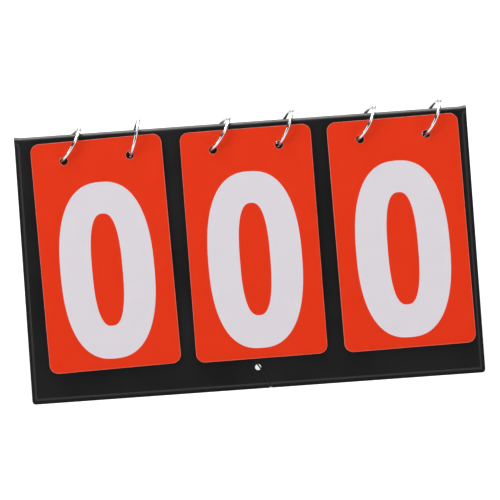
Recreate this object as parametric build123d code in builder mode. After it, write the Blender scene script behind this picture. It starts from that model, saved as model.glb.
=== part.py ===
from build123d import *
import math
import os

# Tabletop flip scoreboard: two vinyl-covered boards joined by a fold along the
# top edge stand as a tent. Three stacks of ten cards hang on six book rings that
# pass through the cards and both covers. Millimetres, +X to the viewer's right,
# the front faces -Y, +Z up, origin on the table under the middle of the tent.

LEAN = 25.0               # each cover's lean from upright, degrees
FOLD_Z = 193.71           # height of the fold's axis above the table
BOARD_W = 370.0           # cover width over the welded rim
BOARD_L = 215.1           # cover length from the fold, before the bottom trim
CORNER_R = 3.0            # bottom corners of the rim

# depths measured outwards from a plane through the fold's axis
W_IN = 0.5                # inner skin, inner face
SKIN_T = 0.4              # vinyl thickness
CORE_T = 2.0              # stiff board thickness
W_CORE = W_IN + SKIN_T    # board, inner face
W_WELD = W_CORE + CORE_T / 2          # the plane in which the skins are welded
W_OUT = W_CORE + CORE_T + SKIN_T      # outer skin, outer face
RIM = 2.8                 # width of the flat welded rim
SLOPE = 1.5               # width of the slope from the rim to the raised face

CARD_W, CARD_H = 106.85, 187.45
CARD_T, CARD_PITCH = 0.24, 0.28
CARD_R = 7.0              # card corner radius
CARD_HOLE_R = 3.3
CARD_HOLE_X = 27.0        # half the distance between a card's two holes
CARD_HOLE_DROP = 15.4     # hole centre below the card's top edge
CARD_TOP = 2.45           # card's top edge below the fold
W_CARD0 = W_OUT + 0.25    # innermost card, inner face
CARDS = 10
STACKS = {                # centre x and roll in the cover's plane, degrees
    "left": (-116.75, 1.15),
    "middle": (3.95, 0.32),
    "right": (124.5, 0.6),
}

RING_R, WIRE_R = 15.5, 1.4
KNUCKLE_R, KNUCKLE_L = 1.7, 3.0
KNUCKLE_OUT = 0.6         # the knuckle sits this far outside the wire's centre line
# lean to the right, highest point of the wire's centre line above the fold,
# height of the leaning axis below the fold, and sideways shift from the hole
RINGS = {
    "ring_1": ("left", -1, 36.0, 11.40, -13.60, -0.65),
    "ring_2": ("left", 1, 18.0, 12.30, -13.27, 0.85),
    "ring_3": ("middle", -1, 37.0, 11.39, -13.83, -0.95),
    "ring_4": ("middle", 1, 27.0, 12.16, -13.21, 0.65),
    "ring_5": ("right", -1, 34.0, 11.39, -13.75, -0.95),
    "ring_6": ("right", 1, 29.0, 12.00, -13.44, 0.55),
}
PANEL_HOLE_R = 4.1
PANEL_HOLE_S = 18.3      # hole centre in the covers, below the fold
PANEL_HOLE_DX = -0.4

CORD_HOLE_S = 197.2       # the stay cord's punched hole, below the fold
CORD_HOLE_X = 0.45
CORD_HOLE_R = 2.45
CORD_R, KNOT_R = 0.65, 1.5
# the cord's loop through the hole and round the bottom rim: x, s, w and corner radius
KNOT_AT = (5.2, 204.2, -1.2)
LOOP = [
    (0.9, 195.9, -0.6, 1.2),
    (1.45, 196.4, 4.1, 1.1),
    (8.8, 210.8, 4.05, 1.6),
    (9.65, 213.9, 2.9, 1.0),
    (9.8, 213.0, 0.25, 1.0),
]
NOTCH_X, NOTCH_S, NOTCH_W = 9.7, 212.45, 1.9          # where the cord bites the rim

sin_a, cos_a = math.sin(math.radians(LEAN)), math.cos(math.radians(LEAN))
os.makedirs("parts", exist_ok=True)


def cover_plane(side, w=0.0):
    """Plane of the front or rear cover: its y runs up to the fold, its z outwards."""
    sign = -1 if side == "front" else 1
    normal = Vector(0, sign * cos_a, sin_a)
    return Plane(
        origin=Vector(0, 0, FOLD_Z) + normal * w,
        x_dir=(1, 0, 0) if side == "front" else (-1, 0, 0),
        z_dir=normal,
    )


def at(side, x, s, w):
    """Point at x across, s below the fold and w out of the cover's zero plane."""
    sign = -1 if side == "front" else 1
    return Vector(x, sign * (s * sin_a + w * cos_a), FOLD_Z - s * cos_a + w * sin_a)


def flip(side):
    return 1 if side == "front" else -1


def hole_x(stack, which):
    """x of a card's hole: the card is rolled a little about its centre."""
    x0, roll = STACKS[stack]
    up = CARD_H / 2 - CARD_HOLE_DROP
    c, s = math.cos(math.radians(roll)), math.sin(math.radians(roll))
    return x0 + which * CARD_HOLE_X * c - up * s


def hole_s(stack, which):
    x0, roll = STACKS[stack]
    up = CARD_H / 2 - CARD_HOLE_DROP
    c, s = math.cos(math.radians(roll)), math.sin(math.radians(roll))
    return CARD_TOP + CARD_H / 2 - (which * CARD_HOLE_X * s + up * c)


RING_X = {name: hole_x(r[0], r[1]) for name, r in RINGS.items()}


def save(part, name):
    part.label = name
    export_step(part, f"parts/{name}.step")


# ---------------------------------------------------------------- the two covers

def hole_points(side):
    f = flip(side)
    return [(f * (x + PANEL_HOLE_DX), -PANEL_HOLE_S) for x in RING_X.values()]


def skin(side, outer):
    """A vinyl skin: a flat rim welded on three sides and a raised field."""
    f = flip(side)
    raise_by = W_OUT - W_WELD - SKIN_T
    w_flat = W_WELD if outer else W_WELD - SKIN_T
    field_w = BOARD_W - 2 * RIM
    field_l = BOARD_L - RIM - 0.9
    with BuildPart() as p:
        with BuildSketch(cover_plane(side, w_flat)):
            with Locations((0, -BOARD_L / 2)):
                Rectangle(BOARD_W, BOARD_L)
        extrude(amount=SKIN_T)
        normal_edges = p.edges().filter_by(Axis((0, 0, 0), cover_plane(side).z_dir))
        fillet(normal_edges.sort_by(Axis.Z)[:2], CORNER_R)
        start = w_flat + SKIN_T if outer else w_flat
        with BuildSketch(cover_plane(side, start)):
            with Locations((0, -field_l / 2)):
                Rectangle(field_w, field_l)
        extrude(amount=raise_by if outer else -raise_by)
        # the slope from the rim up to the raised field, on the three welded sides
        top = p.faces().sort_by(Axis((0, 0, 0), cover_plane(side).z_dir))[-1 if outer else 0]
        fold_edge = top.edges().sort_by(Axis.Z)[-1]
        slope = [e for e in top.edges() if (e.center() - fold_edge.center()).length > 1.0]
        chamfer(slope, length=SLOPE, length2=raise_by - 0.02, reference=top)
        # the pocket for the board
        with BuildSketch(cover_plane(side, W_WELD)):
            with Locations((0, -(3.0 + field_l - 1.7) / 2)):
                Rectangle(field_w - 3.4, field_l - 4.7)
        extrude(amount=CORE_T / 2 if outer else -CORE_T / 2, mode=Mode.SUBTRACT)
        # ring holes, the cord's hole and the notch that the cord presses into the rim
        with BuildSketch(cover_plane(side, -1)):
            with Locations(*hole_points(side)):
                Circle(PANEL_HOLE_R)
            with Locations((f * CORD_HOLE_X, -CORD_HOLE_S)):
                Circle(CORD_HOLE_R)
            with Locations((f * NOTCH_X, -NOTCH_S - 2.5)):
                Rectangle(NOTCH_W, 5)
        extrude(amount=8, mode=Mode.SUBTRACT)
        # the rim is cut level with the table, so that the tent stands on a flat edge
        with BuildSketch(Plane.XY.offset(-10)):
            Rectangle(500, 400)
        extrude(amount=10, mode=Mode.SUBTRACT)
    return p


def board(side):
    """The stiff board inside a cover."""
    f = flip(side)
    field_w = BOARD_W - 2 * RIM
    field_l = BOARD_L - RIM - 0.9
    with BuildPart() as p:
        with BuildSketch(cover_plane(side, W_CORE)):
            with Locations((0, -(3.0 + field_l - 1.7) / 2)):
                RectangleRounded(field_w - 3.8, field_l - 5.1, 2.0)
            with Locations(*hole_points(side)):
                Circle(PANEL_HOLE_R, mode=Mode.SUBTRACT)
            with Locations((f * CORD_HOLE_X, -CORD_HOLE_S)):
                Circle(CORD_HOLE_R, mode=Mode.SUBTRACT)
        extrude(amount=CORE_T)
    return p


for side in ("front", "rear"):
    outer_skin = skin(side, True)
    inner_skin = skin(side, False)
    core = board(side)
    save(outer_skin.part, f"{side}_outer_skin")
    save(inner_skin.part, f"{side}_inner_skin")
    save(core.part, f"{side}_board")

# ---------------------------------------------------------------- the fold
# The vinyl runs over the top from the front outer skin to the rear one.
FOLD_RO, FOLD_RI = W_OUT, W_OUT - SKIN_T
with BuildPart() as hinge_fold:
    with BuildSketch(Plane(origin=(0, 0, FOLD_Z), x_dir=(0, 1, 0), z_dir=(1, 0, 0))):
        a0, a1 = math.radians(LEAN + 2.5), math.radians(180 - LEAN)
        mid = (a0 + a1) / 2

        def polar(r, a):
            return (r * math.cos(a), r * math.sin(a))

        with BuildLine():
            ThreePointArc(polar(FOLD_RO, a0), polar(FOLD_RO, mid), polar(FOLD_RO, a1))
            Line(polar(FOLD_RO, a1), polar(FOLD_RI, a1))
            ThreePointArc(polar(FOLD_RI, a1), polar(FOLD_RI, mid), polar(FOLD_RI, a0))
            Line(polar(FOLD_RI, a0), polar(FOLD_RO, a0))
        make_face()
    extrude(amount=BOARD_W / 2 - 0.6, both=True)
save(hinge_fold.part, "hinge_fold")

# ---------------------------------------------------------------- the score cards

def card(stack, depth):
    """One card; depth 0 is the outermost, which shows."""
    x0, roll = STACKS[stack]
    w = W_CARD0 + (CARDS - 1 - depth) * CARD_PITCH
    with BuildPart() as p:
        with BuildSketch(cover_plane("front", w)):
            with Locations(Location((x0, -(CARD_TOP + CARD_H / 2), 0), (0, 0, roll))):
                RectangleRounded(CARD_W, CARD_H, CARD_R)
            with Locations((hole_x(stack, -1), -hole_s(stack, -1)),
                           (hole_x(stack, 1), -hole_s(stack, 1))):
                Circle(CARD_HOLE_R, mode=Mode.SUBTRACT)
        extrude(amount=CARD_T)
    return p


for stack in STACKS:
    for depth in range(CARDS):
        score_card = card(stack, depth)
        save(score_card.part, f"card_{stack}_{depth}")

# ---------------------------------------------------------------- the book rings

def ring_frame(name):
    """Centre of the ring, its upward direction and its plane's normal."""
    stack, which, lean, top, axis_z, shift = RINGS[name]
    a = math.radians(lean)
    up = Vector(math.sin(a), 0, math.cos(a))
    normal = Vector(math.cos(a), 0, -math.sin(a))
    foot = Vector(RING_X[name] + shift, 0, FOLD_Z + axis_z)
    centre = foot + up * (top - RING_R - axis_z)
    return centre, up, normal


def half_ring(name, fixed):
    """Half of a book ring. The fixed half carries the hinge knuckle at the top,
    the gate half ends in the snap sleeve at the bottom."""
    centre, up, normal = ring_frame(name)
    crown = centre + up * RING_R
    turn = 1 if fixed else -1
    with BuildPart() as p:
        with BuildSketch(Plane(origin=crown, x_dir=normal, z_dir=(0, 1, 0))):
            Circle(WIRE_R)
        revolve(axis=Axis(centre, normal * turn), revolution_arc=179.3)
        knuckle = Plane(origin=crown + up * KNUCKLE_OUT - normal * (KNUCKLE_L / 2),
                        x_dir=(0, 1, 0), z_dir=normal)
        if fixed:
            with BuildSketch(knuckle):
                Circle(KNUCKLE_R)
            extrude(amount=KNUCKLE_L)
        else:
            with BuildSketch(knuckle.offset(-1)):
                Circle(KNUCKLE_R + 0.08)
            extrude(amount=KNUCKLE_L + 2, mode=Mode.SUBTRACT)
            foot = centre - up * RING_R
            with BuildSketch(Plane(origin=foot, x_dir=normal, z_dir=(0, 1, 0)).offset(0.35)):
                Circle(WIRE_R + 0.3)
            extrude(amount=2.6)
    return p


for name in RINGS:
    fixed_half = half_ring(name, True)
    gate_half = half_ring(name, False)
    save(fixed_half.part, f"{name}_fixed_half")
    save(gate_half.part, f"{name}_gate_half")

# ---------------------------------------------------------------- stay cord
# On each cover the cord goes out through a punched hole, down the face, round the
# bottom rim and back to a knot inside. A taut span joins the two knots.

def cord_loop(side):
    knot_point = at(side, *KNOT_AT)
    points = [at(side, x, s_, w) for x, s_, w, r in LOOP]
    with BuildPart() as p:
        with BuildLine() as path:
            FilletPolyline(knot_point, *points, knot_point + Vector(0.25, 0, 0),
                           radius=[r for x, s_, w, r in LOOP])
        route = path.wire()
        with BuildSketch(Plane(origin=route @ 0, z_dir=route % 0)):
            Circle(CORD_R)
        sweep(path=route)
        with Locations(knot_point):
            Sphere(KNOT_R, mode=Mode.SUBTRACT)
    return p, route.length


def knot(side):
    with BuildPart() as p:
        with Locations(at(side, *KNOT_AT)):
            Sphere(KNOT_R)
    return p


knot_front, knot_rear = at("front", *KNOT_AT), at("rear", *KNOT_AT)
with BuildPart() as stay_cord:
    with BuildSketch(Plane(origin=(knot_front.X, 0, knot_front.Z), x_dir=(1, 0, 0), z_dir=(0, 1, 0))):
        Circle(CORD_R)
    extrude(amount=abs(knot_front.Y), both=True)
    with Locations(knot_front):
        Sphere(KNOT_R, mode=Mode.SUBTRACT)
    with Locations(knot_rear):
        Sphere(KNOT_R + 0.05, mode=Mode.SUBTRACT)
save(stay_cord.part, "stay_cord")

for side in ("front", "rear"):
    loop, loop_length = cord_loop(side)
    stopper = knot(side)
    save(loop.part, f"{side}_cord_loop")
    save(stopper.part, f"{side}_knot")
    print(side, "cord loop length", round(loop_length, 2), "volume by length",
          round(loop_length * math.pi * CORD_R ** 2, 2), "volume", round(loop.part.volume, 2))

# ---------------------------------------------------------------- printed sizes
stack_mid = W_CARD0 + ((CARDS - 1) * CARD_PITCH + CARD_T) / 2
print("card axis z", round(FOLD_Z + stack_mid / sin_a, 4), "stack middle w", round(stack_mid, 3))
for name in RINGS:
    print(name, "axis x", round(RING_X[name] + RINGS[name][5], 3), "axis z", FOLD_Z + RINGS[name][4],
          "lean", RINGS[name][2])
rim_w = W_WELD + SKIN_T / 2
rim_s = (FOLD_Z + rim_w * sin_a) / cos_a
print("rim foot", at("front", 0, rim_s, rim_w), at("rear", 0, rim_s, rim_w))
print("knots at", knot_front, knot_rear, "fold top", FOLD_Z + W_OUT)
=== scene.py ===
import bpy
import bmesh
import math
import numpy as np
from mathutils import Vector, Matrix, geometry


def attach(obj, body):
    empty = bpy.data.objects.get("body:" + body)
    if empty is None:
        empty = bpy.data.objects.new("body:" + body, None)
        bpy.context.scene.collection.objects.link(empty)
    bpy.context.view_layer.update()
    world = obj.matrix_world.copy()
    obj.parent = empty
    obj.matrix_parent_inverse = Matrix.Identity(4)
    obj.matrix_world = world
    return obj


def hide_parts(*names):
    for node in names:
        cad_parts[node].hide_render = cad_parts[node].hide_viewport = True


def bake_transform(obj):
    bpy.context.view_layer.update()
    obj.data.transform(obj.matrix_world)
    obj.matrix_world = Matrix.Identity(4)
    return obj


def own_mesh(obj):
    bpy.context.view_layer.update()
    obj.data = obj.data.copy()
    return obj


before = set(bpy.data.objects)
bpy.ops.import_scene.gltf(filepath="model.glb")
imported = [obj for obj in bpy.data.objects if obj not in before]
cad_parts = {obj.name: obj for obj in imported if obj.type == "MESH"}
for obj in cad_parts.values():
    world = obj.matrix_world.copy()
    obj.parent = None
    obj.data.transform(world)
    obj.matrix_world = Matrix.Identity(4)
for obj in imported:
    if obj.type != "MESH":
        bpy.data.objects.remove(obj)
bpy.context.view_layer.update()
MM = 0.001

# Sizes repeated from the construction, in millimetres.
LEAN = math.radians(25.0)
SA, CA = math.sin(LEAN), math.cos(LEAN)
FOLD_Z = 193.71
BOARD_W, BOARD_END = 370.0, 215.1
W_IN, SKIN_T, W_WELD, W_OUT = 0.5, 0.4, 1.9, 3.3
RIM = 2.8
CARD_W, CARD_H, CARD_T, PITCH, CARD_R = 106.85, 187.45, 0.24, 0.28, 7.0
CARD_TOP, W_CARD0 = 2.45, 3.55
HOLE_X, HOLE_DROP, HOLE_R = 27.0, 15.4, 3.3
STACKS = {"left": (-116.75, 1.15), "middle": (3.95, 0.32), "right": (124.5, 0.6)}
RINGS = {
    "ring_1": ("left", -1, 36.0, 11.40, -13.60, -0.65),
    "ring_2": ("left", 1, 18.0, 12.30, -13.27, 0.85),
    "ring_3": ("middle", -1, 37.0, 11.39, -13.83, -0.95),
    "ring_4": ("middle", 1, 27.0, 12.16, -13.21, 0.65),
    "ring_5": ("right", -1, 34.0, 11.39, -13.75, -0.95),
    "ring_6": ("right", 1, 29.0, 12.00, -13.44, 0.55),
}
RING_R, WIRE_R = 15.5, 1.4
PANEL_HOLE_R, PANEL_HOLE_S, PANEL_HOLE_DX = 4.1, 18.3, -0.4
CORD_HOLE_X, CORD_HOLE_S, CORD_HOLE_R = 0.45, 197.2, 2.45
CORD_R, KNOT_R = 0.65, 1.5
KNOT_AT = (5.2, 204.2, -1.2)
NOTCH_X, NOTCH_S, NOTCH_W = 9.7, 212.9, 1.5


def at(side, x, s, w):
    """Point x across, s below the fold, w out of a cover's zero plane, in mm."""
    sign = -1 if side == "front" else 1
    return Vector((x, sign * (s * SA + w * CA), FOLD_Z - s * CA + w * SA))


def card_hole(stack, which):
    x0, roll = STACKS[stack]
    up = CARD_H / 2 - HOLE_DROP
    c, s = math.cos(math.radians(roll)), math.sin(math.radians(roll))
    return (x0 + which * HOLE_X * c - up * s,
            CARD_TOP + CARD_H / 2 - (which * HOLE_X * s + up * c))


RING_X = {n: card_hole(r[0], r[1])[0] for n, r in RINGS.items()}


def smooth(t):
    t = min(1.0, max(0.0, t))
    return t * t * (3 - 2 * t)


def make_object(name, verts, faces, materials, indices=None, shade=None, angle=None):
    """A mesh in metres from millimetre points."""
    mesh = bpy.data.meshes.new(name)
    mesh.from_pydata([tuple(c * MM for c in v) for v in verts], [], faces)
    for m in materials:
        mesh.materials.append(m)
    if indices is not None:
        mesh.polygons.foreach_set("material_index", indices)
    if shade is True:
        mesh.polygons.foreach_set("use_smooth", [True] * len(mesh.polygons))
    elif shade is not None:
        mesh.polygons.foreach_set("use_smooth", shade)
    mesh.validate()
    mesh.update()
    obj = bpy.data.objects.new(name, mesh)
    bpy.context.scene.collection.objects.link(obj)
    if angle is not None:
        mesh.set_sharp_from_angle(angle=math.radians(angle))
    return obj


# ------------------------------------------------------------------ materials

def new_material(name):
    m = bpy.data.materials.new(name)
    m.use_nodes = True
    t = m.node_tree
    b = t.nodes["Principled BSDF"]
    return m, t, b


def node(t, kind, **values):
    n = t.nodes.new(kind)
    for k, v in values.items():
        if k in ("operation", "blend_type", "data_type", "distance", "feature", "noise_dimensions", "interpolation"):
            setattr(n, k, v)
        else:
            n.inputs[k].default_value = v
    return n


def object_coords(t, scale):
    tc = t.nodes.new("ShaderNodeTexCoord")
    mp = t.nodes.new("ShaderNodeMapping")
    mp.inputs["Scale"].default_value = scale
    t.links.new(tc.outputs["Object"], mp.inputs["Vector"])
    return mp.outputs["Vector"]


def ramp(t, fac, low, high, low_at=0.0, high_at=1.0):
    r = t.nodes.new("ShaderNodeValToRGB")
    r.color_ramp.elements[0].position = low_at
    r.color_ramp.elements[0].color = low
    r.color_ramp.elements[1].position = high_at
    r.color_ramp.elements[1].color = high
    t.links.new(fac, r.inputs["Fac"])
    return r.outputs["Color"]


def vinyl_material(name, gloss, rough_low, rough_high):
    """Satin black calendered vinyl: a very fine grain and faint haze."""
    m, t, b = new_material(name)
    v = object_coords(t, (1, 1, 1))
    haze = node(t, "ShaderNodeTexNoise", Scale=22.0, Detail=4.0, Roughness=0.55)
    t.links.new(v, haze.inputs["Vector"])
    t.links.new(ramp(t, haze.outputs["Fac"], (0.0042, 0.0042, 0.0045, 1), (0.0062, 0.0060, 0.0064, 1), 0.3, 0.75),
                b.inputs["Base Color"])
    rough = t.nodes.new("ShaderNodeMapRange")
    rough.inputs["From Min"].default_value = 0.3
    rough.inputs["From Max"].default_value = 0.7
    rough.inputs["To Min"].default_value = rough_low
    rough.inputs["To Max"].default_value = rough_high
    t.links.new(haze.outputs["Fac"], rough.inputs["Value"])
    t.links.new(rough.outputs["Result"], b.inputs["Roughness"])
    b.inputs["Specular IOR Level"].default_value = gloss
    grain = node(t, "ShaderNodeTexVoronoi", Scale=1500.0)
    fine = node(t, "ShaderNodeTexNoise", Scale=900.0, Detail=3.0)
    slow = node(t, "ShaderNodeTexNoise", Scale=38.0, Detail=2.0)
    for n in (grain, fine, slow):
        t.links.new(v, n.inputs["Vector"])
    add = node(t, "ShaderNodeMath", operation="MULTIPLY_ADD")
    t.links.new(grain.outputs["Distance"], add.inputs[0])
    add.inputs[1].default_value = 0.55
    t.links.new(fine.outputs["Fac"], add.inputs[2])
    bump = node(t, "ShaderNodeBump", Strength=0.10, Distance=0.00006)
    t.links.new(add.outputs[0], bump.inputs["Height"])
    wave = node(t, "ShaderNodeBump", Strength=0.16, Distance=0.0006)
    t.links.new(slow.outputs["Fac"], wave.inputs["Height"])
    t.links.new(bump.outputs["Normal"], wave.inputs["Normal"])
    t.links.new(wave.outputs["Normal"], b.inputs["Normal"])
    return m


def board_material():
    """Grey-brown pressed board seen only inside the punched holes."""
    m, t, b = new_material("pressed_board")
    v = object_coords(t, (1, 1, 1))
    n = node(t, "ShaderNodeTexNoise", Scale=700.0, Detail=5.0, Roughness=0.7)
    t.links.new(v, n.inputs["Vector"])
    t.links.new(ramp(t, n.outputs["Fac"], (0.05, 0.045, 0.038, 1), (0.11, 0.095, 0.08, 1), 0.3, 0.7), b.inputs["Base Color"])
    b.inputs["Roughness"].default_value = 0.9
    bump = node(t, "ShaderNodeBump", Strength=0.5, Distance=0.0001)
    t.links.new(n.outputs["Fac"], bump.inputs["Height"])
    t.links.new(bump.outputs["Normal"], b.inputs["Normal"])
    return m


def print_material(name, low, high, rough, scale=60.0):
    """Printed plastic sheet: a faint mottle in colour and gloss, and a fine ink grain."""
    m, t, b = new_material(name)
    v = object_coords(t, (1, 1, 1))
    n = node(t, "ShaderNodeTexNoise", Scale=scale, Detail=3.0, Roughness=0.5)
    t.links.new(v, n.inputs["Vector"])
    t.links.new(ramp(t, n.outputs["Fac"], low, high, 0.3, 0.7), b.inputs["Base Color"])
    mr = t.nodes.new("ShaderNodeMapRange")
    mr.inputs["From Min"].default_value = 0.3
    mr.inputs["From Max"].default_value = 0.7
    mr.inputs["To Min"].default_value = rough - 0.02
    mr.inputs["To Max"].default_value = rough + 0.02
    t.links.new(n.outputs["Fac"], mr.inputs["Value"])
    t.links.new(mr.outputs["Result"], b.inputs["Roughness"])
    b.inputs["Specular IOR Level"].default_value = 0.25
    ink = node(t, "ShaderNodeTexNoise", Scale=2600.0, Detail=2.0)
    t.links.new(v, ink.inputs["Vector"])
    bump = node(t, "ShaderNodeBump", Strength=0.06, Distance=0.00003)
    t.links.new(ink.outputs["Fac"], bump.inputs["Height"])
    t.links.new(bump.outputs["Normal"], b.inputs["Normal"])
    return m


def chrome_material():
    """Bright nickel-chrome wire with faint drawing marks."""
    m, t, b = new_material("bright_chrome")
    b.inputs["Metallic"].default_value = 1.0
    v = object_coords(t, (1, 1, 1))
    n = node(t, "ShaderNodeTexNoise", Scale=420.0, Detail=4.0, Roughness=0.6)
    t.links.new(v, n.inputs["Vector"])
    t.links.new(ramp(t, n.outputs["Fac"], (0.56, 0.555, 0.55, 1), (0.68, 0.68, 0.68, 1), 0.25, 0.7), b.inputs["Base Color"])
    mr = t.nodes.new("ShaderNodeMapRange")
    mr.inputs["From Min"].default_value = 0.3
    mr.inputs["From Max"].default_value = 0.75
    mr.inputs["To Min"].default_value = 0.06
    mr.inputs["To Max"].default_value = 0.14
    t.links.new(n.outputs["Fac"], mr.inputs["Value"])
    t.links.new(mr.outputs["Result"], b.inputs["Roughness"])
    return m


def cord_material():
    """Fine black braid: dark threads with a soft sheen."""
    m, t, b = new_material("black_braid")
    v = object_coords(t, (1, 1, 1))
    n = node(t, "ShaderNodeTexVoronoi", Scale=2400.0)
    t.links.new(v, n.inputs["Vector"])
    t.links.new(ramp(t, n.outputs["Distance"], (0.009, 0.009, 0.0095, 1), (0.002, 0.002, 0.002, 1), 0.1, 0.7), b.inputs["Base Color"])
    b.inputs["Roughness"].default_value = 0.75
    b.inputs["Sheen Weight"].default_value = 0.06
    b.inputs["Specular IOR Level"].default_value = 0.3
    bump = node(t, "ShaderNodeBump", Strength=0.6, Distance=0.0001)
    bump.invert = True
    t.links.new(n.outputs["Distance"], bump.inputs["Height"])
    t.links.new(bump.outputs["Normal"], b.inputs["Normal"])
    return m


VINYL = vinyl_material("black_vinyl", 0.36, 0.36, 0.46)
LINING = vinyl_material("black_lining", 0.08, 0.55, 0.66)      # the covers' dull inner faces
PRESSED = board_material()
RED = print_material("card_red", (0.762, 0.0325, 0.0038, 1), (0.778, 0.0345, 0.0046, 1), 0.40)
DIGIT = print_material("card_digit", (0.708, 0.671, 0.716, 1), (0.722, 0.685, 0.730, 1), 0.44)
# a paler red on the cards' rounded cut edges and hole rims: a painted highlight
EDGE_HIGHLIGHT = print_material("card_edge_painted_highlight", (0.73, 0.22, 0.16, 1), (0.80, 0.32, 0.25, 1), 0.55, 400.0)
CHROME = chrome_material()
BRAID = cord_material()

for name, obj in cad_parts.items():
    if "skin" in name or name == "hinge_fold":
        mat = VINYL
    elif "board" in name:
        mat = PRESSED
    elif name.startswith("card"):
        mat = RED
    elif name.startswith("ring"):
        mat = CHROME
    else:
        mat = BRAID
    for s in obj.material_slots:
        s.material = mat

# ------------------------------------------------------------------ numerals
# A plain heavy numeral set in a 77 by 145 mm box, origin at the box's centre.
DX, DY, T = 38.5, 72.6, 26.2


def ellipse(cx, cy, a, b, n=2.45, steps=96):
    out = []
    for i in range(steps):
        u = 2 * math.pi * i / steps
        c, s = math.cos(u), math.sin(u)
        out.append((cx + a * math.copysign(abs(c) ** (2 / n), c),
                    cy + b * math.copysign(abs(s) ** (2 / n), s)))
    return out


def inside(poly, x, y):
    hit = False
    j = len(poly) - 1
    for i in range(len(poly)):
        xi, yi = poly[i]
        xj, yj = poly[j]
        if (yi > y) != (yj > y) and x < (xj - xi) * (y - yi) / (yj - yi) + xi:
            hit = not hit
        j = i
    return hit


ZERO_OUT = ellipse(0, 0, DX, DY, 2.45)
ZERO_IN = ellipse(0, 0.45, 12.5, 46.2, 2.6)
TOP_OUT = ellipse(0, 34.5, 36.0, 38.1, 2.3)
TOP_IN = ellipse(0, 35.5, 11.0, 14.6, 2.2)
LOW_OUT = ellipse(0, -31.5, DX, 41.1, 2.35)
LOW_IN = ellipse(0, -31.5, 12.5, 17.5, 2.3)
SIX_OUT = ellipse(0, -25.5, DX, 47.1, 2.35)
SIX_IN = ellipse(0, -25.5, 12.5, 22.3, 2.4)
FIVE_OUT = ellipse(0, -24.0, DX, 48.6, 2.35)
FIVE_IN = ellipse(0, -24.0, 12.5, 23.4, 2.4)
TWO_OUT = ellipse(0, 30.6, DX, 42.0, 2.35)
TWO_IN = ellipse(0, 30.6, 12.5, 16.6, 2.3)

ONE = [(-6, -DY), (20.5, -DY), (20.5, DY), (1.5, DY), (-3, 62), (-11, 54), (-25, 49.5), (-25, 27), (-13, 29.5), (-6, 33)]
SEVEN = [(-DX + 1, DY), (DX - 0.5, DY), (DX - 0.5, DY - 24), (25, 22), (15, -12), (10, -44), (8.5, -DY), (-18.5, -DY),
         (-16.5, -42), (-11.5, -12), (-3.5, 18), (9, DY - T), (-DX + 1, DY - T)]
FOUR = [(1.5, -DY), (27, -DY), (27, -44), (DX + 0.5, -44), (DX + 0.5, -19.5), (27, -19.5), (27, DY), (-3, DY),
        (-DX - 0.5, -17), (-DX - 0.5, -44), (1.5, -44)]
FOUR_IN = [(1.5, -19.5), (1.5, 33), (-17.5, -19.5)]
TWO_LEG = [(DX - 0.4, 27), (35, 9), (22, -14), (6, -36), (-2, DY * -1 + T), (DX, -DY + T), (DX, -DY), (-DX, -DY), (-DX, -DY + 25),
           (-27, -26), (-6, 1), (7, 16), (12.4, 30)]
FIVE_TOP = [(-31, DY), (33, DY), (33, DY - 25), (-9.5, DY - 25), (-11, 17), (-14, 6), (-14, -2), (-36.5, -2)]
CUT_5 = [(-60, -2), (0, -2), (0, -33), (-60, -33)]
THREE_TOP_IN = ellipse(0, 34, 11.0, 17.5, 2.3)
THREE_LOW_IN = ellipse(0, -30, 12.5, 20.5, 2.35)
CUT_3 = [(-60, 31), (0, 31), (0, 16.5), (-15, 16.5), (-15, -9.5), (0, -9.5), (0, -26), (-60, -26)]


def digit_rule(d):
    """Constraint outlines and the test for a point in the numeral."""
    i = inside
    if d == 0:
        return [ZERO_OUT, ZERO_IN], lambda x, y: i(ZERO_OUT, x, y) and not i(ZERO_IN, x, y)
    if d == 1:
        return [ONE], lambda x, y: i(ONE, x, y)
    if d == 2:
        cut = [(-60, 33), (0, 33), (0, -12), (-60, -12)]
        return [TWO_OUT, TWO_IN, TWO_LEG, cut], lambda x, y: i(TWO_LEG, x, y) or (
            i(TWO_OUT, x, y) and not i(TWO_IN, x, y) and not (x < 0 and y < 33) and y > 14 and not (x < 8 and y < 20))
    if d == 3:
        return [TOP_OUT, THREE_TOP_IN, LOW_OUT, THREE_LOW_IN, CUT_3], lambda x, y: (
            (i(TOP_OUT, x, y) or i(LOW_OUT, x, y)) and not i(THREE_TOP_IN, x, y) and not i(THREE_LOW_IN, x, y)
            and not i(CUT_3, x, y))
    if d == 4:
        return [FOUR, FOUR_IN], lambda x, y: i(FOUR, x, y) and not i(FOUR_IN, x, y)
    if d == 5:
        return [FIVE_OUT, FIVE_IN, FIVE_TOP, CUT_5], lambda x, y: i(FIVE_TOP, x, y) or (
            i(FIVE_OUT, x, y) and not i(FIVE_IN, x, y) and not (i(CUT_5, x, y)))
    if d in (6, 9):
        f = 1 if d == 6 else -1

        def turned(poly):
            return [(f * x, f * y) for x, y in poly]
        hook = [(14, 31), (60, 31), (60, -30), (14, -30)]
        polys = [turned(p) for p in (ZERO_OUT, ZERO_IN, SIX_OUT, SIX_IN, [(0, 80), (0, 20), (5, 20), (5, 80)], hook)]

        def rule(x, y):
            x, y = f * x, f * y
            bowl = i(SIX_OUT, x, y) and not i(SIX_IN, x, y)
            back = i(ZERO_OUT, x, y) and not i(ZERO_IN, x, y) and (x < 0 or y > 31)
            return bowl or (back and not i(SIX_IN, x, y))
        return polys, rule
    if d == 7:
        return [SEVEN], lambda x, y: i(SEVEN, x, y)
    if d == 8:
        return [TOP_OUT, TOP_IN, LOW_OUT, LOW_IN], lambda x, y: (
            (i(TOP_OUT, x, y) or i(LOW_OUT, x, y)) and not i(TOP_IN, x, y) and not i(LOW_IN, x, y))


# ------------------------------------------------------------------ score cards

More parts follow.
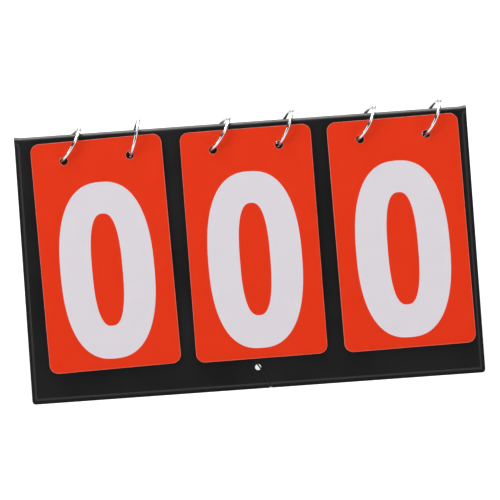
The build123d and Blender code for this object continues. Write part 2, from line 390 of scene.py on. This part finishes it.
def rounded_rectangle(w, h, r, steps=10):
    out = []
    for cx, cy, a0 in ((w / 2 - r, h / 2 - r, 0), (-w / 2 + r, h / 2 - r, 90),
                       (-w / 2 + r, -h / 2 + r, 180), (w / 2 - r, -h / 2 + r, 270)):
        for i in range(steps + 1):
            a = math.radians(a0 + 90 * i / steps)
            out.append((cx + r * math.cos(a), cy + r * math.sin(a)))
    return out


def circle(cx, cy, r, steps=40):
    return [(cx + r * math.cos(2 * math.pi * i / steps), cy + r * math.sin(2 * math.pi * i / steps)) for i in range(steps)]


def triangulate(loops, points=(), lines=()):
    """Constrained triangulation of closed loops, open lines and loose points."""
    verts, edges = [], []
    for loop in loops:
        k = len(verts)
        verts += [Vector(p) for p in loop]
        edges += [(k + i, k + (i + 1) % len(loop)) for i in range(len(loop))]
    for line in lines:
        k = len(verts)
        verts += [Vector(p) for p in line]
        edges += [(k + i, k + i + 1) for i in range(len(line) - 1)]
    verts += [Vector(p) for p in points]
    out = geometry.delaunay_2d_cdt(verts, edges, [], 0, 1e-4)
    return [tuple(v) for v in out[0]], [tuple(f) for f in out[2]]


CARD_HOLES = [(-HOLE_X, CARD_H / 2 - HOLE_DROP), (HOLE_X, CARD_H / 2 - HOLE_DROP)]
LIP = 0.22        # width of the rounded cut edge, coloured pale as a painted highlight


def card_mesh(stack, depth):
    """A punched plastic sheet with rounded edges; the numeral is its own region."""
    outline = rounded_rectangle(CARD_W, CARD_H, CARD_R)
    face_line = rounded_rectangle(CARD_W - 2 * LIP, CARD_H - 2 * LIP, CARD_R - LIP)
    holes = [circle(x, y, HOLE_R) for x, y in CARD_HOLES]
    hole_faces = [circle(x, y, HOLE_R + LIP) for x, y in CARD_HOLES]
    cx, cy, k = 0.35, CARD_H / 2 - 107.15, 0.9927
    outlines, rule = digit_rule(depth)
    digit_loops = [[(cx + x * k, cy + y * k) for x, y in loop] for loop in outlines]

    def in_sheet(x, y):
        return inside(face_line, x, y) and not any((x - hx) ** 2 + (y - hy) ** 2 < (HOLE_R + LIP - 0.01) ** 2 for hx, hy in CARD_HOLES)

    verts, faces, index, shade = [], [], [], []
    for front in (True, False):
        loops = [face_line] + hole_faces + (digit_loops if front else [])
        v2, tris = triangulate(loops)
        base = len(verts)
        w = CARD_T if front else 0.0
        verts += [(x, y, w) for x, y in v2]
        for f in tris:
            x = sum(v2[i][0] for i in f) / len(f)
            y = sum(v2[i][1] for i in f) / len(f)
            if not in_sheet(x, y):
                continue
            faces.append(tuple(base + i for i in (f if front else f[::-1])))
            index.append(1 if front and rule((x - cx) / k, (y - cy) / k) else 0)
            shade.append(False)

    def wall(loop_face, loop_mid):
        """Rounded edge from the front face line, over the cut, to the back face line, coloured with the pale painted
        highlight.
        """
        base = len(verts)
        n = len(loop_face)
        for loop, w in ((loop_face, CARD_T), (loop_mid, CARD_T - 0.07), (loop_mid, 0.07), (loop_face, 0.0)):
            verts.extend((x, y, w) for x, y in loop)
        for k in range(3):
            for i in range(n):
                a, b = base + k * n + i, base + k * n + (i + 1) % n
                faces.append((a, a + n, b + n, b))
                index.append(2)
                shade.append(True)

    wall(face_line, outline)
    for hf, h in zip(hole_faces, holes):
        wall(hf[::-1], h[::-1])
    return verts, faces, index, shade


def weld(obj, distance=0.000004):
    bm = bmesh.new()
    bm.from_mesh(obj.data)
    bmesh.ops.remove_doubles(bm, verts=bm.verts, dist=distance)
    bmesh.ops.dissolve_degenerate(bm, edges=bm.edges, dist=1e-7)
    bm.to_mesh(obj.data)
    bm.free()


for depth in range(10):
    verts, faces, index, shade = card_mesh("left", depth)
    for stack, (x0, roll) in STACKS.items():
        c, s = math.cos(math.radians(roll)), math.sin(math.radians(roll))
        w0 = W_CARD0 + (9 - depth) * PITCH
        placed = [at("front", x0 + x * c - y * s, CARD_TOP + CARD_H / 2 - (x * s + y * c), w0 + w) for x, y, w in verts]
        node_name = f"card_{stack}_{depth}"
        obj = make_object(f"score_{stack}_{depth}", placed, faces, [RED, DIGIT, EDGE_HIGHLIGHT], index, shade)
        weld(obj)
        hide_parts(node_name)
        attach(obj, node_name)

# ------------------------------------------------------------------ vinyl covers
ARC = math.pi / 2 - LEAN                  # half of the fold's angle, from one cover to the other
FOLD_LEN = W_OUT * ARC                    # half of the fold's length on its outer face


def path_point(x, v, w):
    """The cover unrolled: v runs from the front's bottom (negative) over the fold (0)
    to the rear's bottom. w is the depth, outwards."""
    if abs(v) <= FOLD_LEN:
        a = math.pi / 2 - v / FOLD_LEN * ARC
        return Vector((x, w * math.cos(a), FOLD_Z + w * math.sin(a)))
    side = "front" if v < 0 else "rear"
    return at(side, x, abs(v) - FOLD_LEN, w)


def rim_profile(e):
    """Height lost near a welded edge; e is the distance from that edge."""
    drop = W_OUT - W_WELD - SKIN_T
    if e < RIM:
        # the pressed weld line runs at the foot of the bead
        return drop + 0.10 * math.exp(-((e - 2.15) / 0.5) ** 2) - 0.03 * smooth(1 - e / 0.5)
    t = (e - RIM) / 1.3
    if t < 1:
        return drop * (1 - math.sin(t * math.pi / 2) ** 1.15)
    # a low roll where the vinyl wraps the board's edge, then the flat field
    return -0.05 * math.exp(-((e - 5.6) / 1.1) ** 2)


def outer_drop(x, v):
    """Depth lost at a point of the outer vinyl, with the ears at the fold's two ends."""
    s = abs(v) - FOLD_LEN
    side_e = BOARD_W / 2 - abs(x)
    foot_e = BOARD_END - 0.75 - s
    d_side = rim_profile(side_e)
    d_foot = rim_profile(foot_e)
    fold = smooth(1 - max(0.0, s + 1.0) / 6.0)
    ear = -0.7 * smooth(1 - side_e / 6.5)
    d = max(d_side, d_foot) if (side_e < 9 or foot_e < 9) else 0.0
    if side_e < 9 and foot_e >= 9:
        d = d_side
    if foot_e < 9 and side_e >= 9:
        d = d_foot
    d = d * (1 - fold) + ear * fold
    return d


def ripple(x, v):
    """A slow, shallow unevenness of the vinyl over the board."""
    s = abs(v)
    return 0.035 * math.sin(x * 0.061 + 1.3) * math.sin(s * 0.083 + 0.4) + 0.02 * math.sin(x * 0.13 + s * 0.05)


def grid_values(lo, hi, fine_lo, fine_hi, coarse, fine, band):
    out, p = [], lo
    while p < hi - 1e-6:
        out.append(p)
        near = (fine_lo and p - lo < band) or (fine_hi and hi - p < band)
        p += fine if near else coarse
    out.append(hi)
    return out


def vinyl_sheet(name, outer, side=None):
    """Outer vinyl: one sheet over both covers. Inner vinyl: one sheet on one cover."""
    half = BOARD_W / 2
    if outer:
        lo, hi = -(BOARD_END + FOLD_LEN), BOARD_END + FOLD_LEN
    else:
        lo, hi = -(BOARD_END + FOLD_LEN), -FOLD_LEN
    # outline with rounded bottom corners, and the floor line
    foot_s = {True: (FOLD_Z + (W_WELD + 0.2) * SA) / CA, False: (FOLD_Z + (W_WELD - 0.2) * SA) / CA}[outer]
    end = foot_s + FOLD_LEN
    holes, notches = [], []
    sides = ("front", "rear") if outer else ("front",)
    for sd in sides:
        f = -1 if sd == "front" else 1
        real = sd if outer else side
        for x in RING_X.values():
            holes.append((x + PANEL_HOLE_DX, f * (PANEL_HOLE_S + FOLD_LEN), PANEL_HOLE_R))
        holes.append((CORD_HOLE_X, f * (CORD_HOLE_S + FOLD_LEN), CORD_HOLE_R))
    r = 3.0

    def bottom_edge(f):
        """Points of the bottom edge, left to right, with the cord's notch and round corners."""
        e = f * end
        pts = []
        for i in range(7):
            a = math.pi / 2 * i / 6
            pts.append((-half + r - r * math.cos(a), e - f * (r - r * math.sin(a))))
        pts += [(x, e) for x in np.arange(-half + r + 4, NOTCH_X - NOTCH_W / 2 - 3, 4.0)]
        n0, n1 = NOTCH_X - NOTCH_W / 2, NOTCH_X + NOTCH_W / 2
        depth = f * (NOTCH_S + FOLD_LEN)
        pts += [(n0 - 0.5, e), (n0, e - f * 0.35)]
        for i in range(7):
            a = math.pi * i / 6
            pts.append((NOTCH_X - NOTCH_W / 2 * math.cos(a), depth + f * (0.9 - 0.9 * math.sin(a))))
        pts += [(n1, e - f * 0.35), (n1 + 0.5, e)]
        pts += [(x, e) for x in np.arange(NOTCH_X + NOTCH_W / 2 + 3, half - r - 2, 4.0)]
        for i in range(7):
            a = math.pi / 2 * (1 - i / 6)
            pts.append((half - r + r * math.cos(a), e - f * (r - r * math.sin(a))))
        return pts

    v_marks = [FOLD_LEN, FOLD_LEN * 0.75, FOLD_LEN * 0.5, FOLD_LEN * 0.25, 0.0] if outer else []
    rows = [0.35, 0.7, 1.1, 1.5, 1.85, 2.2, 2.5, 2.8, 3.15, 3.5, 3.9, 4.3, 4.9, 5.6, 6.4, 7.4, 9]
    vs = [-end + q for q in rows] + list(np.arange(-end + 13, -FOLD_LEN - 9, 7.0))
    vs += [-FOLD_LEN - q for q in (7, 5.5, 4.2, 3.1, 2.2, 1.4, 0.7, 0.0)] if outer else [-FOLD_LEN - q for q in (4.0, 2.0)]
    if outer:
        vs += [-FOLD_LEN * q for q in (0.83, 0.67, 0.5, 0.33, 0.17)]
        vs = vs + [0.0] + [-q for q in vs[::-1]]
    xs = [-half + q for q in rows] + list(np.arange(-half + 13, half - 12.5, 7.0)) + [half - q for q in rows[::-1]]
    xs = sorted(xs + [NOTCH_X - 2.7, NOTCH_X + 2.7])
    loops = []
    left = [(-half, v) for v in vs if abs(v) < end - r - 0.2]
    right = [(half, v) for v in vs if abs(v) < end - r - 0.2]
    if outer:
        outline = bottom_edge(-1) + right + bottom_edge(1)[::-1] + left[::-1]
    else:
        top = [(x, hi) for x in [half] + xs[::-1] + [-half]]
        outline = bottom_edge(-1) + right + top + left[::-1]
    loops.append(outline)
    lips = []
    for hx, hv, hr in holes:
        loops.append(circle(hx, hv, hr, 36))
        lips.append(circle(hx, hv, hr + 0.45, 36))
        lips.append(circle(hx, hv, hr + 1.1, 36))

    def clear_of_holes(x, v, gap):
        return all((x - hx) ** 2 + (v - hv) ** 2 > (hr + gap) ** 2 for hx, hv, hr in holes)

    def off_edge(x, v):
        if not inside(outline, x, v):
            return False
        if abs(v) > end - 5:
            if math.hypot(x - NOTCH_X, abs(v) - end + 1.5) < 2.2:
                return False
            cx = half - r
            if abs(x) > cx and math.hypot(abs(x) - cx, abs(v) - (end - r)) > r - 0.15:
                return False
        return True

    points = [(x, v) for v in vs for x in xs if off_edge(x, v) and clear_of_holes(x, v, 1.6)]
    # along the bottom rim the rows are kept whole, so that the bead has an even surface
    lines = []
    for v in vs:
        if abs(v) > end - 9.2:
            run = []
            for x in (x for x in xs if off_edge(x, v)):
                if run and run[-1][0] < NOTCH_X < x and not off_edge(NOTCH_X, v):
                    lines.append(run)
                    run = []
                run.append((x, v))
            lines.append(run)
    points = [p for p in points if abs(p[1]) <= end - 9.2]
    points += [p for lip in lips for p in lip]
    v2, tris = triangulate(loops, points, lines)

    def skin_w(x, v):
        if outer:
            hole_dip = 0.0
            for hx, hv, hr in holes:
                q = math.hypot(x - hx, v - hv) - hr
                if q < 2.5:
                    hole_dip = max(hole_dip, 0.16 * math.exp(-(q / 0.7) ** 2))
            return W_OUT - outer_drop(x, v) + (ripple(x, v) if abs(v) > FOLD_LEN + 8 and abs(x) < half - 8 and abs(v) < end - 10 else 0) - hole_dip
        e = min(half - abs(x), BOARD_END - 0.75 - (abs(v) - FOLD_LEN))
        top = smooth((abs(v) - FOLD_LEN) / 2.5)
        return W_IN + rim_profile(e)

    def place(x, v, w):
        p = path_point(x, v, w)
        if not outer and side == "rear":
            p = Vector((p.x, -p.y, p.z))
        return p

    verts = []
    for x, v in v2:
        verts.append(place(x, v, skin_w(x, v)))
    n = len(v2)
    # the hidden face of the sheet, one thickness inwards
    sign = -1 if outer else 1
    for x, v in v2:
        w = skin_w(x, v) + sign * SKIN_T
        if outer:
            w = max(w, W_WELD) if abs(v) > FOLD_LEN else w
        else:
            w = min(w, W_WELD)
        verts.append(place(x, v, w))
    # everything stays on or above the table
    verts = [Vector((p.x, p.y, max(p.z, 0.0))) for p in verts]
    keep = []
    for f in tris:
        x = sum(v2[i][0] for i in f) / 3
        v = sum(v2[i][1] for i in f) / 3
        if inside(outline, x, v) and all((x - hx) ** 2 + (v - hv) ** 2 > (hr * 0.995) ** 2 for hx, hv, hr in holes):
            keep.append(f)
    faces = []
    count = {}
    for f in keep:
        for i in range(3):
            a, b = f[i], f[(i + 1) % 3]
            count[(a, b)] = count.get((a, b), 0) + 1
    # unrolled seen from outside: +x right and +v towards the rear means outward winding for both
    flipped = (not outer and side == "front") or False
    outward = outer or side == "rear"
    for f in keep:
        faces.append(f if outward else f[::-1])
        faces.append(tuple(n + i for i in (f[::-1] if outward else f)))
    for (a, b) in count:
        if (b, a) not in count:
            q = (a, n + a, n + b, b)
            faces.append(q if outward else q[::-1])
    obj = make_object(name, verts, faces, [VINYL if outer else LINING], None, True, 50)
    weld(obj, 0.000002)
    bm = bmesh.new()
    bm.from_mesh(obj.data)
    bmesh.ops.recalc_face_normals(bm, faces=bm.faces)
    bm.to_mesh(obj.data)
    bm.free()
    return obj


outer_vinyl = vinyl_sheet("outer_vinyl", True)
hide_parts("front_outer_skin", "rear_outer_skin", "hinge_fold")
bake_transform(outer_vinyl)

for side in ("front", "rear"):
    inner = vinyl_sheet(f"{side}_inner_vinyl", False, side)
    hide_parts(f"{side}_inner_skin")
    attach(inner, f"{side}_cover")

# ------------------------------------------------------------------ book rings

def ring_frame(name):
    stack, which, lean, top, axis_z, shift = RINGS[name]
    a = math.radians(lean)
    up = Vector((math.sin(a), 0, math.cos(a)))
    normal = Vector((math.cos(a), 0, -math.sin(a)))
    foot = Vector((RING_X[name] + shift, 0, FOLD_Z + axis_z))
    return foot + up * (top - RING_R - axis_z), up, normal


def tube(points, radii, ring=20, across=None, close_ends=True):
    """Tube along points with its own radius at each; across keeps a steady frame."""
    verts, faces = [], []
    n = len(points)
    for i, p in enumerate(points):
        tangent = (points[min(n - 1, i + 1)] - points[max(0, i - 1)]).normalized()
        side_v = across(p) if across else Vector((1, 0, 0))
        u = (side_v - tangent * side_v.dot(tangent)).normalized()
        w = tangent.cross(u)
        for k in range(ring):
            a = 2 * math.pi * k / ring
            verts.append(p + (u * math.cos(a) + w * math.sin(a)) * radii[i])
    for i in range(n - 1):
        for k in range(ring):
            a, b = i * ring + k, i * ring + (k + 1) % ring
            faces.append((a, b, b + ring, a + ring))
    if close_ends:
        faces.append(tuple(range(ring))[::-1])
        faces.append(tuple((n - 1) * ring + k for k in range(ring)))
    return verts, faces


def turned(profile, origin, axis, start, steps=28):
    """Solid of revolution: profile is (radius, height) pairs along axis."""
    verts, faces = [], []
    other = axis.cross(start)
    for r, h in profile:
        for k in range(steps):
            a = 2 * math.pi * k / steps
            verts.append(origin + axis * h + (start * math.cos(a) + other * math.sin(a)) * r)
    m = len(profile)
    for i in range(m - 1):
        for k in range(steps):
            a, b = i * steps + k, i * steps + (k + 1) % steps
            faces.append((a, b, b + steps, a + steps))
    faces.append(tuple(range(steps))[::-1])
    faces.append(tuple((m - 1) * steps + k for k in range(steps)))
    return verts, faces


def half_ring(name, fixed):
    """Half of a book ring in round wire. Near the crown the wire is pressed flat into a
    hinge lug; at the bottom one half ends in a snap sleeve and the other in its tongue."""
    centre, up, normal = ring_frame(name)
    back = Vector((0, -1, 0)) if fixed else Vector((0, 1, 0))
    verts, faces = [], []

    def add(part):
        v, f = part
        k = len(verts)
        verts.extend(v)
        faces.extend(tuple(k + i for i in q) for q in f)

    start = 0.055 if fixed else 0.125
    stop = math.pi - (0.012 if fixed else 0.012)
    angles = [start + (stop - start) * i / 90 for i in range(91)]
    points = [centre + up * (RING_R * math.cos(a)) + back * (RING_R * math.sin(a)) for a in angles]
    radii = []
    for a in angles:
        arc = (math.pi - a) * RING_R
        r = WIRE_R
        if not fixed:
            r = WIRE_R + 0.28 * smooth((3.2 - arc) / 0.5) - 0.12 * smooth((0.35 - arc) / 0.3)
        else:
            r = WIRE_R - 0.1 * smooth((0.5 - arc) / 0.4)
        head = (a - start) * RING_R
        r += 0.16 * smooth(1 - head / 2.2)
        radii.append(r)
    add(tube(points, radii, 22, across=lambda p: normal))
    if fixed:
        # hinge lug: a short barrel across the ring with a domed pin head on each side
        pin = centre + up * (RING_R + 0.6)
        profile = [(0.05, -1.5), (0.6, -1.48), (0.8, -1.37), (0.88, -1.2), (1.42, -1.16), (1.6, -1.05), (1.7, -0.86),
                   (1.7, 0.86), (1.6, 1.05), (1.42, 1.16), (0.88, 1.2), (0.8, 1.37), (0.6, 1.48), (0.05, 1.5)]
        add(turned(profile, pin, normal, up, 30))
    obj = make_object(f"{name}_{'fixed' if fixed else 'gate'}", verts, faces, [CHROME], None, True, 45)
    bm = bmesh.new()
    bm.from_mesh(obj.data)
    bmesh.ops.recalc_face_normals(bm, faces=bm.faces)
    bm.to_mesh(obj.data)
    bm.free()
    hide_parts(f"{name}_{'fixed' if fixed else 'gate'}_half")
    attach(obj, name)
    return obj


for ring_name in RINGS:
    half_ring(ring_name, True)
    half_ring(ring_name, False)

# ------------------------------------------------------------------ stay cord
LOOP = [KNOT_AT, (3.6, 200.6, -1.0), (1.0, 196.2, -1.0), (0.2, 195.1, 0.2), (0.6, 195.6, 2.9), (1.6, 196.9, 4.25), (3.2, 199.7, 4.05),
        (5.9, 204.8, 4.03), (8.3, 209.6, 4.05), (9.5, 212.6, 3.9), (9.72, 214.15, 3.0), (9.75, 213.85, 1.6), (9.7, 212.7, 0.2),
        (8.9, 211.1, -0.35), (7.3, 207.9, -0.75), KNOT_AT]


def nurbs_points(route, count):
    """Even points along a smooth NURBS through the control points."""
    curve = bpy.data.curves.new("route", "CURVE")
    curve.dimensions = "3D"
    spline = curve.splines.new("NURBS")
    spline.points.add(len(route) - 1)
    for p, q in zip(spline.points, route):
        p.co = (q[0], q[1], q[2], 1)
    spline.order_u = 3
    spline.use_endpoint_u = True
    spline.resolution_u = 8
    obj = bpy.data.objects.new("route", curve)
    bpy.context.scene.collection.objects.link(obj)
    mesh = bpy.data.meshes.new_from_object(obj)
    raw = [v.co.copy() for v in mesh.vertices]
    bpy.data.objects.remove(obj)
    bpy.data.curves.remove(curve)
    bpy.data.meshes.remove(mesh)
    length = [0.0]
    for a, b in zip(raw, raw[1:]):
        length.append(length[-1] + (b - a).length)
    out = []
    for i in range(count):
        d = length[-1] * i / (count - 1)
        k = max(1, min(len(raw) - 1, next((j for j in range(1, len(raw)) if length[j] >= d - 1e-9), len(raw) - 1)))
        t = (d - length[k - 1]) / max(1e-9, length[k] - length[k - 1])
        out.append(raw[k - 1].lerp(raw[k], t))
    return out, length[-1]


def braid(name, route, spread=0.30, strand=0.33, turn=3.4, strands=4, lead=0.0):
    """A laid cord: strands that wind round the route. lead is the length of cord before it."""
    rough, total = nurbs_points(route, 40)
    steps = max(40, int(total / 0.33))
    line, total = nurbs_points(route, steps)
    verts, faces = [], []
    u = None
    frames = []
    for i, p in enumerate(line):
        tangent = (line[min(steps - 1, i + 1)] - line[max(0, i - 1)]).normalized()
        if u is None:
            guess = Vector((0, 0, 1)) if abs(tangent.z) < 0.8 else Vector((1, 0, 0))
            u = (guess - tangent * guess.dot(tangent)).normalized()
        else:
            u = (u - tangent * u.dot(tangent)).normalized()
        frames.append((p, u.copy(), tangent.cross(u)))
    for s in range(strands):
        pts = []
        for i, (p, a, b) in enumerate(frames):
            ang = 2 * math.pi * (s / strands + (lead + total * i / (steps - 1)) / turn)
            pts.append(p + (a * math.cos(ang) + b * math.sin(ang)) * spread)
        v, f = tube(pts, [strand] * steps, 8, across=lambda q: Vector((0.3, 0.2, 0.93)))
        k = len(verts)
        verts += v
        faces += [tuple(k + i for i in q) for q in f]
    obj = make_object(name, verts, faces, [BRAID], None, True, 60)
    return obj


def overhand(name, side):
    """A small tight knot of the same cord."""
    centre = at(side, *KNOT_AT)
    pts = []
    for i in range(121):
        t = 2 * math.pi * i / 120
        x = math.sin(t) + 2 * math.sin(2 * t)
        y = math.cos(t) - 2 * math.cos(2 * t)
        z = -math.sin(3 * t)
        pts.append(centre + Vector((x * 0.31, z * 0.42, y * 0.31)))
    v, f = tube(pts, [0.52] * 121, 10, across=lambda q: (q - centre).normalized() + Vector((0.01, 0, 0)), close_ends=False)
    obj = make_object(name, v, f, [BRAID], None, True, 60)
    weld(obj, 0.00002)
    return obj


for side in ("front", "rear"):
    sign = 1 if side == "front" else -1
    route = [at(side, *p) for p in LOOP]
    loop = braid(f"{side}_loop", route)
    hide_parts(f"{side}_cord_loop")
    tie = overhand(f"{side}_tie", side)
    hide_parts(f"{side}_knot")
    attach(loop, f"{side}_cover")
    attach(tie, f"{side}_cover")
    # the loop and the knot each get a mesh of their own
    out = at(side, 0, 0, 1) - at(side, 0, 0, 0)
    tuple(c * MM for c in at(side, 5, 204, 4.9))
    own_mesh(loop)
    tuple(c * MM for c in at(side, 5, 204, 0.5))
    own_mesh(tie)

kf, kr = at("front", *KNOT_AT), at("rear", *KNOT_AT)


def blend_share(share):
    """Where blend's smooth step reaches this share."""
    return 0.5 - math.sin(math.asin(1 - 2 * share) / 3)


# The span is laid in lengths, each its own braided piece.
MARKS = (0.0, 0.02, 0.06, 0.14, 0.3, 0.7, 0.86, 0.94, 0.98, 1.0)
for i, (t0, t1) in enumerate(zip(MARKS, MARKS[1:])):
    part = []
    for j in range(5):
        t = t0 + (t1 - t0) * j / 4
        part.append(kf.lerp(kr, t) + Vector((0, 0, -0.8 * t * (1 - t))))
    span = braid(f"stay_span_{i + 1}", part, lead=(kr - kf).length * t0)
    reach = (t1 - t0) / (blend_share(t1) - blend_share(t0))
    t_start = t0 - blend_share(t0) * reach
    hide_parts("stay_cord")
    tuple(c * MM for c in kf.lerp(kr, t_start))
    tuple(c * MM for c in kf.lerp(kr, t_start + reach))
    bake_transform(span)

# ------------------------------------------------------------------ floor, light, camera
ROLL, ELEV = math.radians(4.13), math.radians(24.0)
look = Vector((0, math.cos(ELEV), -math.sin(ELEV)))
view_up = Vector((0, math.sin(ELEV), math.cos(ELEV)))
right = Vector((1, 0, 0)) * math.cos(ROLL) - view_up * math.sin(ROLL)
up = Vector((1, 0, 0)) * math.sin(ROLL) + view_up * math.cos(ROLL)
aim = (at("front", 0.73, 97.5, W_OUT) - view_up * 4.05) * MM
DISTANCE = 1.8
camera_data = bpy.data.cameras.new("camera")
camera_data.sensor_width = 36.0
camera_data.lens = 159.0
camera_data.clip_start, camera_data.clip_end = 0.05, 50.0
camera = bpy.data.objects.new("camera", camera_data)
m = Matrix((right, up, -look)).transposed().to_4x4()
m.translation = aim - look * DISTANCE
camera.matrix_world = m
bpy.context.scene.collection.objects.link(camera)
bpy.context.scene.camera = camera

floor_material, ft, fb = new_material("pale_floor")
fb.inputs["Base Color"].default_value = (0.55, 0.55, 0.55, 1)
fb.inputs["Emission Color"].default_value = (1, 1, 1, 1)
fb.inputs["Emission Strength"].default_value = 0.88
fb.inputs["Roughness"].default_value = 0.95
fb.inputs["Specular IOR Level"].default_value = 0.0
size = 9.0
floor_mesh = bpy.data.meshes.new("floor")
floor_mesh.from_pydata([(-size, -size, 0), (size, -size, 0), (size, size, 0), (-size, size, 0)], [], [(0, 1, 2, 3)])
floor_mesh.materials.append(floor_material)
floor = bpy.data.objects.new("floor", floor_mesh)
bpy.context.scene.collection.objects.link(floor)


def area(name, place, target, w, h, power, colour=(1, 1, 1)):
    data = bpy.data.lights.new(name, "AREA")
    data.shape = "RECTANGLE"
    data.size, data.size_y = w, h
    data.energy = power
    data.color = colour
    obj = bpy.data.objects.new(name, data)
    obj.location = place
    obj.rotation_mode = "QUATERNION"
    obj.rotation_quaternion = (Vector(target) - Vector(place)).to_track_quat("-Z", "Y")
    bpy.context.scene.collection.objects.link(obj)
    return obj


area("top_soft", (0.0, -0.15, 2.2), (0, 0, 0), 2.4, 1.6, 31.5)
area("left_box", (-2.1, -1.25, 1.15), (0, 0, 0.1), 1.3, 1.7, 22)
area("right_box", (2.1, -1.1, 1.05), (0, 0, 0.1), 1.1, 1.7, 14.8)
area("back_strip", (0.0, 2.3, 1.45), (0, 0, 0.15), 3.2, 0.9, 14)
gloss = area("back_gloss", (0.0, 0.95, 2.35), (0, 0, 0.15), 3.2, 1.8, 160)
gloss.visible_diffuse = False      # a highlight along the fold, with no light thrown on the floor

world = bpy.data.worlds.new("studio")
bpy.context.scene.world = world
world.use_nodes = True
bg = world.node_tree.nodes["Background"]
bg.inputs["Color"].default_value = (1, 1, 1, 1)
bg.inputs["Strength"].default_value = 0.1
bpy.context.scene.view_settings.view_transform = "Standard"
bpy.context.scene.view_settings.look = "None"
